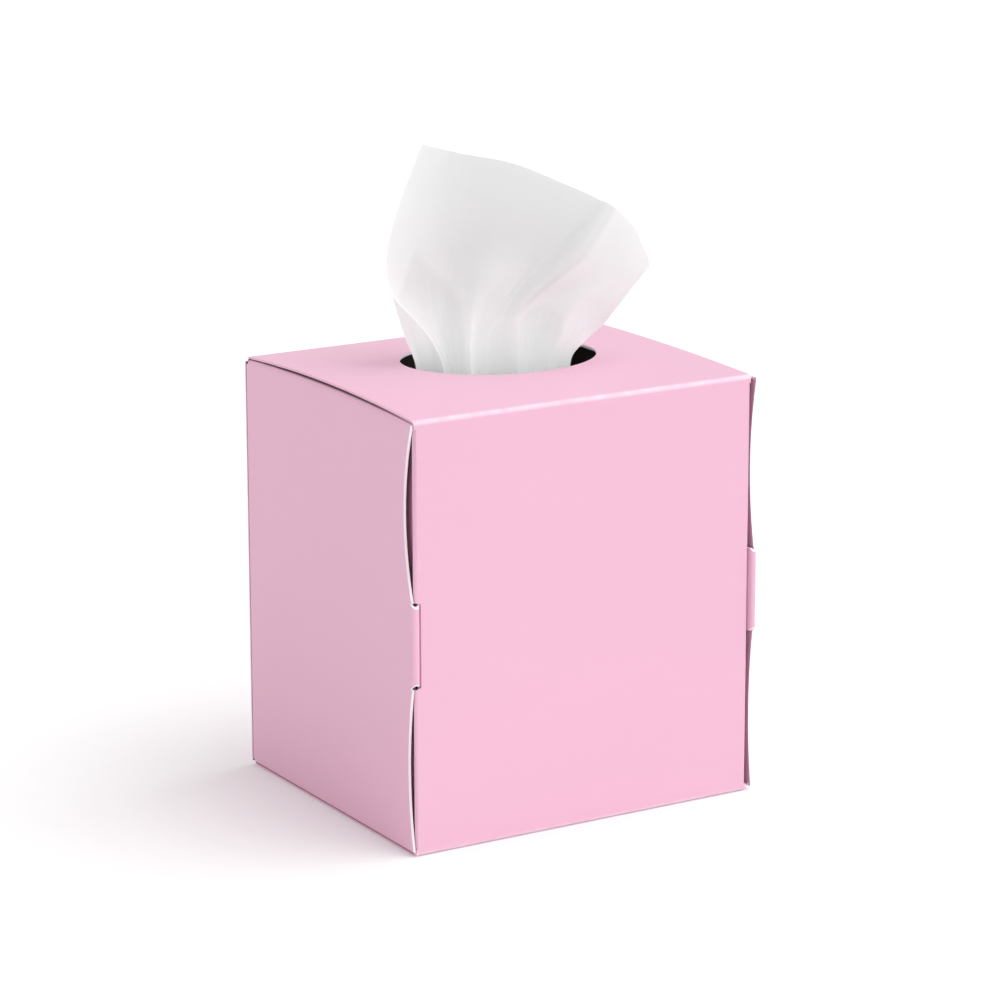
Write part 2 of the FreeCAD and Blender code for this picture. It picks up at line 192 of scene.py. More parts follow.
print("five pattern helpers ready")

# %% [markdown]
# Printed card has a thin satin varnish over a flat colour. Under it the board's fibres show as a
# very fine, shallow grain, and large areas are never quite even. Two close pinks, mixed by a large
# soft noise, give that without any visible pattern.

# %% Pink printed card
CARD_PINK = (0.850, 0.500, 0.650)
CARD_SHADE = (0.840, 0.485, 0.635)

pink_card, card_shader = new_material("pink_card", roughness=0.42, specular=0.22)
card_shader.inputs["Coat Weight"].default_value = 0.06
card_shader.inputs["Coat Roughness"].default_value = 0.30
card_place = own_place(pink_card)
cloud = noise_on(pink_card, card_place, scale=14.0, detail=2.0)
even_pink = colour_mix(pink_card, cloud, CARD_PINK, CARD_SHADE)
grain = noise_on(pink_card, card_place, scale=2600.0, detail=3.0)
add_relief(pink_card, grain, 0.10, 0.00002, card_shader)
print("pink card:", len(pink_card.node_tree.nodes), "nodes so far")

# %% [markdown]
# Along the long folds at the front and the back of the lid and the bottom, a lighter line is
# painted into the colour. It is partly wear, where the creased ink stretches and goes paler, and
# partly a painted highlight, where the rounded fold catches the light. It could be painted on a
# map. It is simpler to find the folds from the depth and the height of a point, because each fold
# is the line where both are at their limit.

# %% Painted highlight and wear on the folds of the card
# Painted highlight and wear: the lighter pink that is painted along the long folds.
FOLD_HIGHLIGHT_PINK = (0.97, 0.80, 0.88)
FOLD_REACH = 0.0016
WIDE, DEEP, TALL = 0.112, 0.098, 0.126


def near_line(material, place, limits, reach):
    """1 on the line where two coordinates are at their limits from a middle, 0 out of reach."""
    parts = parts_of(material, place)
    squares = []
    for axis, middle, limit in limits:
        offset = calculate(material, "SUBTRACT", parts[axis], middle)
        size = calculate(material, "ABSOLUTE", offset)
        gap = calculate(material, "SUBTRACT", limit, size)
        squares.append(calculate(material, "MULTIPLY", gap, gap))
    distance = calculate(material, "SQRT", calculate(material, "ADD", *squares))
    return ramp(material, distance, (reach, reach * 0.35), (0.0, 1.0))


fold_limits = (("Y", 0.0, DEEP / 2), ("Z", TALL / 2, TALL / 2))
long_fold = near_line(pink_card, card_place, fold_limits, FOLD_REACH)
fold_streak_noise = noise_on(pink_card, card_place, scale=260.0, detail=3.0)
# The line of painted highlight and wear, broken up by noise.
fold_highlight_and_wear = calculate(pink_card, "MULTIPLY", long_fold, fold_streak_noise)
card_colour = colour_mix(pink_card, fold_highlight_and_wear, even_pink, FOLD_HIGHLIGHT_PINK)
join(pink_card, card_colour, card_shader.inputs["Base Color"])
print("pink card with folds:", len(pink_card.node_tree.nodes), "nodes")

# %% [markdown]
# A cut through board shows its white pulp beside the pink print. It is matt and a little fibrous.
# One fine noise mixes white with a slightly pinker shade and roughens the cut as well.

# %% White cut edge of the card
PULP_WHITE = (0.98, 0.93, 0.96)
PULP_SHADE = (0.93, 0.84, 0.89)

cut_edge, cut_shader = new_material("card_cut_edge", roughness=0.85)
pulp = noise_on(cut_edge, own_place(cut_edge), scale=1800.0, detail=4.0)
pulp_colour = colour_mix(cut_edge, pulp, PULP_WHITE, PULP_SHADE)
join(cut_edge, pulp_colour, cut_shader.inputs["Base Color"])
add_relief(cut_edge, pulp, 0.3, 0.00005, cut_shader)
print("cut edge:", len(cut_edge.node_tree.nodes), "nodes")

# %% [markdown]
# Only the outside of the sheet is printed. The inside of the carton is plain board, painted here
# much darker than grey board as painted shade, so the hole looks nearly black beside the tissue.
# Two close greys, mixed by flecks, are enough, because nothing finer would be seen in the dark.

# %% Board inside the carton, painted dark as shade
# Painted shade: the inside board is painted far darker than real board, so the hole and gaps look dark.
BOARD_PAINTED_SHADE = (0.13, 0.105, 0.10)
BOARD_SHADE = (0.09, 0.075, 0.07)

board, board_shader = new_material("board_painted_shade", roughness=0.9, specular=0.15)
flecks = noise_on(board, own_place(board), scale=420.0, detail=4.0)
board_painted_shade_colour = colour_mix(board, flecks, BOARD_PAINTED_SHADE, BOARD_SHADE)
join(board, board_painted_shade_colour, board_shader.inputs["Base Color"])
print("grey board:", len(board.node_tree.nodes), "nodes")

# %% [markdown]
# The card pieces are right in the CAD model: bent card of even thickness, with round folds. They
# could be modelled again, but a copy keeps every size. The copy's loose triangles are joined
# first, then it is reshaped a little, and then each face gets one of three finishes: printed, cut
# edge, or the plain inside in board painted dark as shade. A function that looks at the face's
# middle and normal makes that choice.

# %% Copy a card piece
FINISHES = (pink_card, cut_edge, board)
# The inside finish is the board painted dark as shade.
PRINTED, CUT, INSIDE_PAINTED_SHADE = 0, 1, 2
FOLD_ANGLE = math.radians(24)


def card_copy(node, body, finish, reshape):
    """A copy of a card node's mesh, reshaped a little. finish gives the material of a face."""
    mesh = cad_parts[node].data.copy()
    mesh.name = node + "_card"
    shape = bmesh.new()
    shape.from_mesh(mesh)
    bmesh.ops.remove_doubles(shape, verts=shape.verts, dist=1e-6)
    reshape(shape)
    shape.normal_update()
    for face in shape.faces:
        face.smooth = True
        face.material_index = finish(face.calc_center_median(), face.normal)
    whites = sum(face.material_index == CUT for face in shape.faces)
    mesh.materials.clear()
    for material in FINISHES:
        mesh.materials.append(material)
    shape.to_mesh(mesh)
    shape.free()
    mesh.set_sharp_from_angle(angle=FOLD_ANGLE)
    piece = add_object(node + "_card", mesh)
    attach(piece, body)
    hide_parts(node)
    print(node, len(mesh.polygons), "faces,", whites, "of them cut edges")
    return piece


def cut_upright(shape, depth):
    """Cuts the faces along the upright plane across the box at a depth, so they can bend there."""
    everything = list(shape.verts) + list(shape.edges) + list(shape.faces)
    bmesh.ops.bisect_plane(
        shape, geom=everything, dist=1e-6, plane_co=(0.0, depth, 0.0), plane_no=(0, 1, 0)
    )


print("finishes", [material.name for material in FINISHES])

# %% [markdown]
# The dust flaps are pressed in a little deeper just behind their folds, as on a real box that has
# been closed by hand, which makes the gap beside the end flap dark. The slot in the left front
# fold fits its tab closely, with ends that slant a little. Both are small moves of the copy's
# vertices, so the card keeps its thickness. The dust flaps' ends and tips and the rim of the hole
# are cut edges; a face that looks away from the box's middle is printed, and the rest gets the
# plain board painted dark as shade.

# %% Carton
FRONT = -DEEP / 2
SIDE = WIDE / 2
HOLE_MIDDLE = (0.0040, 0.0055)
HOLE_REACH = 0.032
DUST_BEND = 0.0036
DUST_PRESS = 0.0015
DUST_TIP = 0.030
DUST_DEPTH = 0.006
SLOT_EDGE = -0.05385
SLOT_ENDS = (0.04905, 0.07435)
SLOT_CLOSE = 0.0002
SLOT_SLANT = 0.0005
NEAR = 0.00005


def close_left_slot(shape):
    """Draws the rim of the left tab's slot in the front panel closer round the tab."""
    for vert in shape.verts:
        x, y, z = vert.co
        if not (-SIDE < x < SLOT_EDGE + 0.0001 and y < FRONT + 0.0012):
            continue
        for end, inwards in zip(SLOT_ENDS, (1, -1)):
            if abs(z - end) < NEAR:
                share = max(0.0, (x + SIDE) / (SLOT_EDGE + SIDE))
                vert.co.z += inwards * SLOT_SLANT * share
        if abs(x - SLOT_EDGE) < NEAR and SLOT_ENDS[0] - 0.001 < z < SLOT_ENDS[1] + 0.001:
            vert.co.x -= SLOT_CLOSE


def press_dust_flaps(shape):
    """Moves the dust flaps inwards from a crease just behind their folds."""
    bend = FRONT + DUST_BEND
    cut_upright(shape, bend)
    for vert in shape.verts:
        x, y, z = vert.co
        at_side = abs(x) > SIDE - DUST_DEPTH and 0.0022 < z < TALL - 0.0022
        if at_side and bend - 0.0002 < y < 0.0:
            vert.co.x -= math.copysign(DUST_PRESS, x)


def shape_carton(shape):
    """The carton's closer slot and pressed dust flaps."""
    close_left_slot(shape)
    press_dust_flaps(shape)


def carton_finish(centre, normal):
    """The finish of a face of the carton."""
    out_of_hole = math.hypot(centre.x - HOLE_MIDDLE[0], centre.y - HOLE_MIDDLE[1])
    rim = out_of_hole < HOLE_REACH and centre.z > TALL - 0.003 and abs(normal.z) < 0.5
    at_side = abs(centre.x) > SIDE - DUST_DEPTH and abs(centre.y) < DEEP / 2 - 0.002
    dust_end = at_side and abs(normal.z) > 0.9 and 0.002 < centre.z < TALL - 0.002
    dust_tip = at_side and normal.y > 0.9 and centre.y > FRONT + DUST_TIP
    if rim or dust_end or dust_tip:
        return CUT
    outward = normal.x * centre.x + normal.y * centre.y + normal.z * (centre.z - TALL / 2)
    # Faces that look into the box get the board painted dark as shade.
    return PRINTED if outward > 0 else INSIDE_PAINTED_SHADE


carton = card_copy("carton", "box", carton_finish, shape_carton)

# %% [markdown]
# An end flap hangs on the back corner and ends at the front in a bowed free edge with a lock tab.
# A worn knife leaves that cut slightly slanted, so the camera sees a fine white line along it. The
# print runs a little way round onto the flap's inside, up to a straight border. The upper tuck
# strip springs up towards the bowed top panel, more at the left than at the right. To bend it, its
# faces are first cut across at a few depths.

# %% End flaps
TAB_MIDDLE = 0.0617
TAB_HALF = 0.0126
TAB_CORNER = 0.0132
TUCK_INSET = 0.012
INNER_BORDER = 0.012
KNIFE_SLANT = 0.0004
TUCK_CUTS = [-0.042, -0.032, -0.021, -0.010, 0.0, 0.010, 0.021, 0.032, 0.042]
LEFT_TUCK_RISE = 0.0014
RIGHT_TUCK_RISE = 0.0005


def slant_front_cut(shape):
    """Slants the cut at the flap's free edge by moving its outer corners back."""
    shape.normal_update()
    outer = set()
    for face in shape.faces:
        centre = face.calc_center_median()
        at_tab = abs(centre.z - TAB_MIDDLE) < TAB_CORNER
        if abs(centre.x) > SIDE and face.normal.y < -0.6 and not at_tab:
            outer.update(vert for vert in face.verts if abs(vert.co.x) > abs(centre.x))
    for vert in outer:
        vert.co.y += KNIFE_SLANT
    print("slanted", len(outer), "corners of the cut")


def raise_tuck(shape, rise):
    """Springs the upper tuck strip up, most in the middle of its length."""
    for depth in TUCK_CUTS:
        cut_upright(shape, depth)
    for vert in shape.verts:
        if vert.co.z > TALL - 0.0035:
            vert.co.z += rise * max(0.0, 1 - (2 * vert.co.y / DEEP) ** 2)


def shape_flap(shape, rise):
    """An end flap's slanted cut, the border of its print, and its raised tuck strip."""
    slant_front_cut(shape)
    cut_upright(shape, FRONT + INNER_BORDER)
    raise_tuck(shape, rise)


def shape_left_flap(shape):
    """The left flap's small changes."""
    shape_flap(shape, LEFT_TUCK_RISE)


def shape_right_flap(shape):
    """The right flap's small changes."""
    shape_flap(shape, RIGHT_TUCK_RISE)


def flap_finish(centre, normal):
    """The finish of a face of an end flap."""
    at_tab = abs(centre.z - TAB_MIDDLE) < TAB_HALF
    free_edge = abs(centre.x) > SIDE and normal.y < -0.6 and not at_tab
    tab_end = at_tab and abs(normal.z) > 0.3
    tuck_end = abs(normal.y) > 0.3 and abs(centre.z - TALL / 2) > TALL / 2 - 0.003
    tuck_tip = abs(centre.x) < SIDE - TUCK_INSET and abs(normal.x) > 0.8
    if free_edge or tab_end or tuck_end or tuck_tip:
        return CUT
    looks_in = normal.x * centre.x < -0.5 * abs(centre.x)
    # Inside faces behind the printed border get the board painted dark as shade.
    return INSIDE_PAINTED_SHADE if looks_in and centre.y > FRONT + INNER_BORDER else PRINTED


left_end_flap = card_copy("left_end_flap", "left_flap", flap_finish, shape_left_flap)
right_end_flap = card_copy("right_end_flap", "right_flap", flap_finish, shape_right_flap)

# %% [markdown]
# Where a tissue is gathered, light scatters between many plies, which one thin surface can't show.
# So a little light is added there, along the sheet's own UV map. Across the sheet the map's X runs
# from the free edge at the left, and its Y runs from the stack to the top edge. The feathered free
# edge is treated in the same way.

# %% Light scattered in the tissue
GATHER_PLACE = 0.645
GATHER_REACH = 0.15
GATHER_LIGHT = 0.15
EDGE_REACH = 0.0040
EDGE_LIGHT = 0.14


def scattered_light(material):
    """The light scattered between plies, at the gather and on the free edge of the sheet."""
    chart = parts_of(material, add_node(material, "ShaderNodeTexCoord").outputs["UV"])
    offset = calculate(material, "SUBTRACT", chart["Y"], GATHER_PLACE)
    away = calculate(material, "ABSOLUTE", offset)
    gather = ramp(material, away, (0.0, GATHER_REACH), (GATHER_LIGHT, 0.0))
    edge_limits = (EDGE_REACH * 0.6, EDGE_REACH)
    edge = ramp(material, chart["X"], edge_limits, (EDGE_LIGHT, 0.0), "LINEAR")
    return calculate(material, "ADD", gather, edge)


print("gather light", GATHER_LIGHT, "edge light", EDGE_LIGHT)

# %% [markdown]
# Tissue is a soft white crepe. Close up it has a fine crinkle, it is quite matt, and light passes
# through its thin plies, so its shaded folds stay bright. A share of translucent shader gives that
# glow. Some patches of the sheet are painted a touch greyer, as painted shade where its hollows
# and its forward-leaning top would be in shade: the mesh carries that share as an attribute.

# %% White tissue
TISSUE_WHITE = (0.94, 0.95, 0.945)
TISSUE_SHADE = (0.91, 0.92, 0.915)
# Painted shade: the grey that the tissue's shaded patches are painted.
PAINTED_SHADE_GREY = (0.70, 0.71, 0.705)
THROUGH_SHARE = 0.42
FINE_SHARE = 0.35
CREPE_STRENGTH = 0.30
CREPE_DEPTH = 0.0004


def blend_shaders(material, first, second, share):
    """Mixes two shaders, the second by its share."""
    blend = add_node(material, "ShaderNodeMixShader", Fac=share)
    join(material, first.outputs[0], blend.inputs[1])
    join(material, second.outputs[0], blend.inputs[2])
    return blend


def add_glow(material, surface, strength):
    """Adds a faint light of its own to a surface, as strong as the strength socket says."""
    light = add_node(material, "ShaderNodeEmission")
    join(material, strength, light.inputs["Strength"])
    both = add_node(material, "ShaderNodeAddShader")
    join(material, surface.outputs[0], both.inputs[0])
    join(material, light.outputs[0], both.inputs[1])
    return both


sheet_tissue, sheet_shader = new_material("sheet_tissue", roughness=0.92, specular=0.08)
sheet_shader.inputs["Sheen Weight"].default_value = 0.12
sheet_place = own_place(sheet_tissue)
soft = noise_on(sheet_tissue, sheet_place, scale=45.0, detail=3.0)
fine = noise_on(sheet_tissue, sheet_place, scale=900.0, detail=5.0)
unshaded_white = colour_mix(sheet_tissue, soft, TISSUE_WHITE, TISSUE_SHADE)
painted_shade_node = add_node(sheet_tissue, "ShaderNodeAttribute", {"attribute_name": "painted_shade"})
# Painted shade: the patches' share mixes the white towards grey.
white = colour_mix(sheet_tissue, painted_shade_node.outputs["Fac"], unshaded_white, PAINTED_SHADE_GREY)
join(sheet_tissue, white, sheet_shader.inputs["Base Color"])
through = add_node(sheet_tissue, "ShaderNodeBsdfTranslucent")
join(sheet_tissue, white, through.inputs["Color"])
crepe = calculate(sheet_tissue, "MULTIPLY_ADD", fine, FINE_SHARE, soft)
add_relief(sheet_tissue, crepe, CREPE_STRENGTH, CREPE_DEPTH, sheet_shader, through)
thin = blend_shaders(sheet_tissue, sheet_shader, through, THROUGH_SHARE)
glowing = add_glow(sheet_tissue, thin, scattered_light(sheet_tissue))
sheet_output = sheet_tissue.node_tree.nodes["Material Output"]
join(sheet_tissue, glowing.outputs[0], sheet_output.inputs["Surface"])
print("sheet tissue:", len(sheet_tissue.node_tree.nodes), "nodes")

# %% [markdown]
# The tissue that stands out of the hole is one nearly square sheet, folded once lengthwise and
# gathered in the hole. A cloth simulation can't be steered to the folds of one photograph, so the
# sheet is led by guides: fibres that run from the stack up to the top edge. A guide starts with
# its place across the layer, from 0 to 100. Its points are (across, towards the viewer, up) from
# the middle of the hole, in millimetres. The outline is that of the CAD model, with softer folds
# and a top that leans forward a little more.

# %% Guides of the tissue
FRONT_LAYER = [
    (0, [(-15.9, 12.8, -1), (-21, 16.3, 10.5), (-29, 18.3, 19.8), (-32.6, 15.8, 31), (-29.2, 11.3, 46),
         (-22.3, 6.8, 63.7)]),
    (10, [(-14.1, 5.8, -2), (-18.1, 10.2, 9), (-23.6, 12, 18), (-24.1, 11.4, 30.1), (-20.6, 9.2, 45.6),
          (-14.3, 6.4, 61.7)]),
    (20, [(-12.6, 4.6, -2.5), (-15.1, 5.6, 7), (-16.6, 6.2, 16.5), (-16.1, 7, 27.8), (-12.1, 9, 44.6),
          (-5.1, 8.5, 60.2)]),
    (30, [(-10.1, 8.6, -2), (-10.1, 9.4, 8), (-10.1, 9.6, 17), (-8.6, 9, 29.6), (-2.6, 10.5, 43.9),
          (4.6, 11, 58.6)]),
    (38, [(-7.9, 13.2, -1), (-7.8, 13.8, 9.2), (-6.1, 13.2, 17.6), (0.4, 12, 30.3), (7.4, 12.5, 42.9),
          (13.4, 12.8, 55.5)]),
    (46, [(-7.1, 8.4, -3), (-6, 9.4, 6.7), (-2.1, 10.8, 16.2), (6.4, 12.6, 30.5), (14.4, 14, 41.8),
          (19.4, 14.2, 53.1)]),
    (54, [(-2.6, 9.4, -1), (-1.6, 10.2, 8.3), (2.4, 11.6, 17.4), (10.9, 13.8, 29.8), (19.9, 15.2, 40.1),
          (25.4, 15.5, 50.7)]),
    (60, [(1.4, 10.4, -3), (1.6, 11.4, 7), (3.8, 13.4, 16.9), (13.4, 15.2, 29.6), (22.4, 16.4, 40),
          (29, 16.6, 49.1)]),
    (66, [(5.4, 12.4, -1), (5.7, 13.6, 9.5), (7.4, 16.2, 18.8), (18.4, 18, 29.8), (26.2, 18.2, 40.2),
          (32, 17.6, 48)]),
    (75, [(9.2, 3.4, -3), (9.9, 4.2, 5.6), (12.4, 7.2, 16), (22.8, 11.8, 25.8), (30.7, 12.8, 35.6),
          (36.7, 12, 42.6)]),
    (84, [(13.4, 8, -2.5), (15.9, 8.2, 5.5), (20.4, 10, 15.1), (27.4, 9.4, 22.6), (35, 8.6, 30.9),
          (40.4, 7.6, 36.6)]),
    (92, [(17.4, 4.4, -2), (20.2, 6, 4.4), (24.7, 6.6, 11.7), (31.7, 5.6, 19.2), (38.5, 4.4, 26.4),
          (42.9, 3.4, 31)]),
    (99, [(21.2, 2.8, -1), (24.2, 3.3, 3.9), (28.3, 2.3, 7.6), (33.4, 1.3, 13), (38.9, 0.8, 20.2),
          (43.8, 0.8, 26.8)]),
]
BACK_LAYER = [
    (98, [(20.4, 0.3, -1.5), (23.4, 0.8, 3.7), (27.5, 0.3, 7.6), (32.7, -0.8, 13), (38.3, -1.2, 20.4),
          (43.2, -1.2, 27)]),
    (84, [(15.9, -3.2, -2), (18.4, -0.7, 4.5), (22.4, 3.3, 13.5), (28.4, 4.2, 22), (35.6, 4.8, 30.7),
          (40.6, 4.4, 36.5)]),
    (66, [(7.4, -4.2, -2), (7.9, -1.2, 6.5), (11.4, 4.3, 16.5), (19.4, 11.6, 28.5), (26.4, 13.2, 38.7),
          (31.8, 12.8, 47)]),
    (50, [(-1.6, -3.2, -2), (-1.6, -0.7, 7), (1.4, 3.8, 17), (8.4, 7.6, 29.4), (16.9, 10.3, 40.2),
          (22.4, 11, 50.7)]),
    (35, [(-9.6, -5.2, -2), (-10.1, -2.7, 7), (-8.1, 0.3, 16.5), (-4.4, 4.3, 29), (1.8, 6, 42.2),
          (8.9, 7.3, 56)]),
    (18, [(-17.1, -1.7, -2), (-18.1, -1.7, 7), (-18.1, 0.3, 16.5), (-17.6, 3, 28.9), (-13.6, 3.1, 43.9),
          (-6.1, 2.3, 58.8)]),
    (1, [(-24.2, 7.8, -1.5), (-27.1, 9.8, 7.2), (-29.7, 11.8, 16.5), (-31.5, 12.6, 29.8), (-28.2, 8.3, 45.2),
         (-21.8, 4.6, 62.9)]),
]
print(len(FRONT_LAYER), "guides in front,", len(BACK_LAYER), "behind")

# %% [markdown]
# Below the hole the tissue drops to the stack, spreads to its full folded width and lies there.
# That part is a rule: at each level the gathered fibre moves a share of the way to its place on
# the flat stack, and the sheet turns from the stack's direction to its own.

# %% From guides to fibres
MILLIMETRE = 0.001
HOLE_TOP = 0.1274
STACK_TOP = 0.0637
TISSUE_TURN = 31.2
TISSUE_SPREAD = 88.0
TISSUE_REACH = 36.0
LAYER_END = 100
LAYER_GAP = 1.4
OVER_STACK = 0.65


def turned(across, ahead, up, turn, middle):
    """A point in metres, from millimetres across, towards the viewer and a height in metres."""
    angle = math.radians(turn)
    x = middle[0] + (across * math.cos(angle) - ahead * math.sin(angle)) * MILLIMETRE
    y = middle[1] - (across * math.sin(angle) + ahead * math.cos(angle)) * MILLIMETRE
    return (x, y, up)


def lower_levels(layer):
    """The fibre's way below the hole: its share of the spread, ahead, height, share of the turn."""
    return [
        (1.0, -TISSUE_REACH, 0.0, 0.0),
        (1.0, -TISSUE_REACH / 2, 0.0, 0.0),
        (1.0, 0.0, 0.01, 0.0),
        (0.85, 9.0 + layer * LAYER_GAP / 2, 0.16, 0.25),
        (0.4, 4.0 + layer * LAYER_GAP, 0.45, 0.6),
        (0.08, 1.0, 0.77, 0.95),
    ]


def fibre(place, points, layer):
    """One fibre, from its end on the stack to the top edge. layer is 1 in front, -1 behind."""
    spread = (place / LAYER_END - 0.5) * TISSUE_SPREAD
    rest = STACK_TOP + (OVER_STACK + LAYER_GAP * (1 - layer) / 2) * MILLIMETRE
    fallen = []
    for share, ahead, height, turn in lower_levels(layer):
        across = points[0][0] * (1 - share) + spread * share
        forward = points[0][1] * (1 - share) + ahead
        middle = (HOLE_MIDDLE[0] * turn, HOLE_MIDDLE[1] * turn)
        up = rest + (HOLE_TOP - rest) * height
        fallen.append(turned(across, forward, up, TISSUE_TURN * turn, middle))
    risen = [
        turned(across, ahead, HOLE_TOP + up * MILLIMETRE, TISSUE_TURN, HOLE_MIDDLE)
        for across, ahead, up in points
    ]
    return fallen + risen


guides = [fibre(place, points, 1) for place, points in FRONT_LAYER]
guides += [fibre(place, points, -1) for place, points in BACK_LAYER]
print(len(guides), "fibres of", len(guides[0]), "points")

# %% [markdown]
# The surface between the fibres is a smooth cubic spline, first along each fibre and then across
# them. A spline has one bend per point, and the bends of neighbours depend on each other, so they
# come from one set of linear equations. The surface is read densely enough that no facet shows.

# %% Surface of the tissue
ROW_PLACES = [0, 18, 36, 49, 70, 91, 106, 116, 126, 139, 154, 170]
ROWS, COLUMNS = 170, 300


def spline_bends(gaps, values):
    """The bend of a natural cubic spline at each of its points."""
    count = len(values)
    matrix = np.eye(count)
    sides = np.zeros_like(values)
    for i in range(1, count - 1):
        matrix[i, i - 1 : i + 2] = gaps[i - 1], 2 * (gaps[i - 1] + gaps[i]), gaps[i]
        after = (values[i + 1] - values[i]) / gaps[i]
        before = (values[i] - values[i - 1]) / gaps[i - 1]
        sides[i] = 6 * (after - before)
    return np.linalg.solve(matrix, sides)


def spline(places, values, samples):
    """The smooth cubic curve through values at their places, read at the samples."""
    places = np.array(places, dtype=float)
    values = np.array(values, dtype=float)
    shape = values.shape[1:]
    values = values.reshape(len(places), -1)
    gaps = np.diff(places)
    bends = spline_bends(gaps, values)
    spots = np.clip(np.searchsorted(places, samples) - 1, 0, len(places) - 2)
    result = []
    for sample, i in zip(samples, spots):
        gap = gaps[i]
        low = (places[i + 1] - sample) / gap
        high = (sample - places[i]) / gap
        curve = (low**3 - low) * bends[i] + (high**3 - high) * bends[i + 1]
        result.append(low * values[i] + high * values[i + 1] + curve * gap * gap / 6)
    return np.array(result).reshape(len(samples), *shape)


across_places = [place for place, points in FRONT_LAYER]
across_places += [2 * LAYER_END - place for place, points in BACK_LAYER]
up_samples = np.linspace(ROW_PLACES[0], ROW_PLACES[-1], ROWS)
across_samples = np.linspace(across_places[0], across_places[-1], COLUMNS)
lengths = spline(ROW_PLACES, np.array(guides).transpose(1, 0, 2), up_samples)
surface = spline(across_places, lengths.transpose(1, 0, 2), across_samples)
print("tissue surface", surface.shape)

# %% [markdown]
# The sheet is painted a little greyer, as painted shade, in a triangle and a dimple low down, and
# in most of the upper part, up to the crease on the right: it stands in for the shade in the
# hollows and under the forward-leaning top. Each such patch is a convex outline whose sides are
# crisp or soft, as on the real tissue. Where the sheet bulges forward, the patch fades.

# %% Patches of painted shade on the tissue
# A patch has a strength and its corners clockwise: (across, up, softness of the side that starts
# there), in millimetres from the middle of the hole.
# Patches of painted shade on the tissue, each with its strength.
SHADE_PATCHES = [
    (0.30, [(-28.5, 20.2, 2), (-24.1, 34.2, 4), (-10.9, 17.8, 1.6), (-8.8, -6, 2), (-15.3, -6, 3),
            (-23.2, 8.7, 3)]),
    (0.30, [(6.2, 14.7, 1.6), (13.5, 16.9, 3), (18.5, 14.1, 1.6), (18.5, 7.1, 3), (12.6, -6, 2),
            (6.2, -6, 2), (5.3, 4.1, 1.4)]),
    (0.36, [(-20, 70, 2), (12, 70, 2), (36, 50, 2), (32.3, 43.9, 1.8), (25.6, 32.4, 1.8),
            (6.2, 15.4, 16), (-20, 32, 34)]),
]
BULGE_MIDDLE = (1.0, 26.0)
BULGE_SIZE = (9.0, 8.0)


def across_and_up(point):
    """A point's place across and up, in millimetres from the middle of the hole."""
    angle = math.radians(TISSUE_TURN)
    side = point[0] - HOLE_MIDDLE[0]
    back = point[1] - HOLE_MIDDLE[1]
    across = side * math.cos(angle) - back * math.sin(angle)
    return across / MILLIMETRE, (point[2] - HOLE_TOP) / MILLIMETRE


def patch_share(across, up, corners):
    """1 well inside a convex patch, 0 outside it, with soft sides."""
    share = 1.0
    for (x0, y0, softness), (x1, y1, _) in zip(corners, corners[1:] + corners[:1]):
        depth = ((across - x0) * (y1 - y0) - (up - y0) * (x1 - x0)) / math.hypot(x1 - x0, y1 - y0)
        side = min(1.0, max(0.0, 0.5 + depth / softness))
        share = min(share, side * side * (3 - 2 * side))
    return share


def painted_shade_share(across, up):
    """How much painted shade greys a point, less where the sheet bulges forward."""
    share = max(strength * patch_share(across, up, corners) for strength, corners in SHADE_PATCHES)
    aside = (across - BULGE_MIDDLE[0]) / BULGE_SIZE[0]
    above = (up - BULGE_MIDDLE[1]) / BULGE_SIZE[1]
    return share * (1 - math.exp(-(aside**2) - above**2))


print(len(SHADE_PATCHES), "patches, of strength", [strength for strength, corners in SHADE_PATCHES])

# %% [markdown]
# Real tissue is never as smooth as a spline. Fine pleats run up from the gather and fade towards
# the top edge, and the whole sheet has a shallow crinkle. Both are sums of crossed waves, which
# give the same result each time, and both move the sheet along its normals by up to a few tenths
# of a millimetre. A patch of painted shade also lies back a little.

# %% Pleats and crinkle
# A wave has its rate across, its rate along, its shift and its size.
PLEATS = [
    (31.0, 1.5, 0.4, 1.0),
    (47.0, -2.0, 2.1, 0.7),
    (73.0, 3.0, 4.0, 0.5),
    (21.0, 4.0, 1.3, 0.8),
]
CRINKLE = [
    (61.0, 37.0, 0.2, 0.5),
    (-43.0, 71.0, 1.9, 0.4),
    (97.0, -53.0, 3.3, 0.3),
    (17.0, 23.0, 5.0, 0.7),
]
PLEAT_PLACE = 0.64
PLEAT_REACH = 0.16
PLEAT_SIZE = 0.00012
CRINKLE_SIZE = 0.00010


def wave_sum(u, v, waves):
    """A repeatable wavy pattern over the sheet, from a few crossed waves."""
    return sum(size * math.sin(across * u + along * v + shift) for across, along, shift, size in waves)


def fold_lift(u, v):
    """How far pleats and crinkle lift the sheet, at a share u across it and v along it."""
    gather = math.exp(-(((v - PLEAT_PLACE) / PLEAT_REACH) ** 2))
    pleats = PLEAT_SIZE * gather * wave_sum(u * 6, v, PLEATS)
    return pleats + CRINKLE_SIZE * wave_sum(u * 2, v, CRINKLE)


print("lift at the gather", round(fold_lift(0.5, PLEAT_PLACE) * 1000, 3), "mm")

# %% [markdown]
# The sheet itself starts as a flat grid, which keeps its faces in order and gives it a UV map. Its
# vertices are then laid on the surface, and after that moved by the folds. The UV map and the
# layer for the painted shade are made before anything else looks at the vertices.

# %% Standing tissue
SHADE_PATCH_SINK = 0.00030
LEAST_OVER_STACK = 0.00045


def grid_spots(shape):
    """Each vertex of the flat grid with its column and row."""
    spots = {}
    for vert in shape.verts:
        column = round((vert.co.x + 0.5) * (COLUMNS - 1))
        row = round((vert.co.y + 0.5) * (ROWS - 1))
        spots[vert] = (column, row)
    return spots


